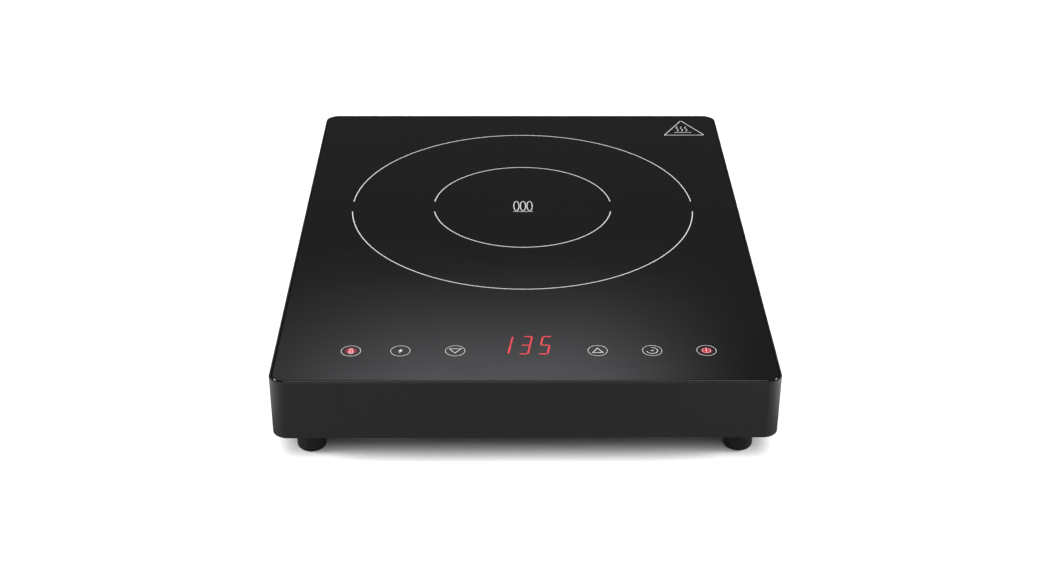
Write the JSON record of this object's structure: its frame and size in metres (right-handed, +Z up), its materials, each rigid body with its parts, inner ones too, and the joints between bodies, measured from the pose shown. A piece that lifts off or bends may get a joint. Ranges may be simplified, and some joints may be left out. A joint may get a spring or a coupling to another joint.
{
  "type": "induction hob",
  "caption": "Countertop induction hob: black glass cooking surface on a low moulded housing with touch controls, a cooling blower inside and rubber feet.",
  "frame": {"origin": "centre of the outline on the surface that the four feet stand on", "axes": "+Z up, +Y from the control edge to the back edge, +X to the right as seen from the controls"},
  "size_m": [0.29, 0.37, 0.06],
  "materials": {
    "black_moulding": "satin black, finely textured moulding",
    "black_glass": "polished black glass-ceramic",
    "black_silicone": "matte",
    "zinc_sheet": "zinc-coated sheet, satin",
    "steel_screw": "zinc plated",
    "black_rubber": "matte moulded rubber",
    "black_nylon": "moulded nylon",
    "tray_plastic": "natural moulded plastic",
    "circuit_board": "green solder mask",
    "display_plastic": "dark tinted plastic",
    "spring_steel": "bright spring wire",
    "ribbon_plastic": "grey flat cable",
    "mica": "pressed mica sheet",
    "copper_litz": "enamelled copper strands",
    "former_plastic": "heat-resistant plastic",
    "ferrite": "sintered ferrite",
    "aluminium": "mill finish",
    "post_nylon": "natural nylon",
    "cap_silicone": "light silicone",
    "black_epoxy": "moulded epoxy",
    "film_capacitor": "yellow plastic case",
    "suppressor_capacitor": "red plastic case",
    "terminal_plastic": "green plastic",
    "lamination": "stacked core sheet",
    "lead_sleeve": "glass-fibre sleeve",
    "printed_enamel": "ceramic colour fired onto the glass",
    "lit_segment": "tinted plastic lit from behind"
  },
  "bodies": {
    "base": {"housing_shell": "black_moulding", "glass_top": "black_glass", "glass_seal": "black_silicone", "base_plate": "zinc_sheet", "foot_1": "black_rubber", "foot_2": "black_rubber", "foot_3": "black_rubber", "foot_4": "black_rubber", "foot_screw_1": "steel_screw", "foot_screw_2": "steel_screw", "foot_screw_3": "steel_screw", "foot_screw_4": "steel_screw", "base_screw_1": "steel_screw", "base_screw_2": "steel_screw", "base_screw_3": "steel_screw", "base_screw_4": "steel_screw", "base_screw_5": "steel_screw", "base_screw_6": "steel_screw", "cable_gland": "black_nylon", "gland_locknut": "black_nylon", "control_tray": "tray_plastic", "control_board": "circuit_board", "led_display": "display_plastic", "touch_spring_1": "spring_steel", "touch_spring_2": "spring_steel", "touch_spring_3": "spring_steel", "touch_spring_4": "spring_steel", "touch_spring_5": "spring_steel", "touch_spring_6": "spring_steel", "ribbon_cable": "ribbon_plastic", "mica_sheet": "mica", "coil_winding": "copper_litz", "coil_former": "former_plastic", "ferrite_bar_1": "ferrite", "ferrite_bar_2": "ferrite", "ferrite_bar_3": "ferrite", "ferrite_bar_4": "ferrite", "ferrite_bar_5": "ferrite", "ferrite_bar_6": "ferrite", "coil_support": "aluminium", "coil_post_1": "post_nylon", "coil_post_2": "post_nylon", "coil_post_3": "post_nylon", "thermistor_cap": "cap_silicone", "power_board": "circuit_board", "heatsink": "aluminium", "igbt": "black_epoxy", "bridge_rectifier": "black_epoxy", "resonant_capacitor": "film_capacitor", "smoothing_capacitor": "suppressor_capacitor", "filter_choke": "copper_litz", "transformer": "lamination", "terminal_block": "terminal_plastic", "blower_case": "black_nylon", "blower_cover": "black_nylon", "motor_stator": "lamination", "coil_lead_inner": "lead_sleeve", "coil_lead_outer": "lead_sleeve"},
    "fan_wheel": {"blower_impeller": "black_nylon", "impeller_shaft": "steel_screw"}
  },
  "joints": [
    {"name": "fan_spin", "type": "hinge", "parent": "base", "child": "fan_wheel", "pos_m": [-0.0901, -0.108, 0.035], "axis": [0, 0, 1], "continuous": true}
  ]
}
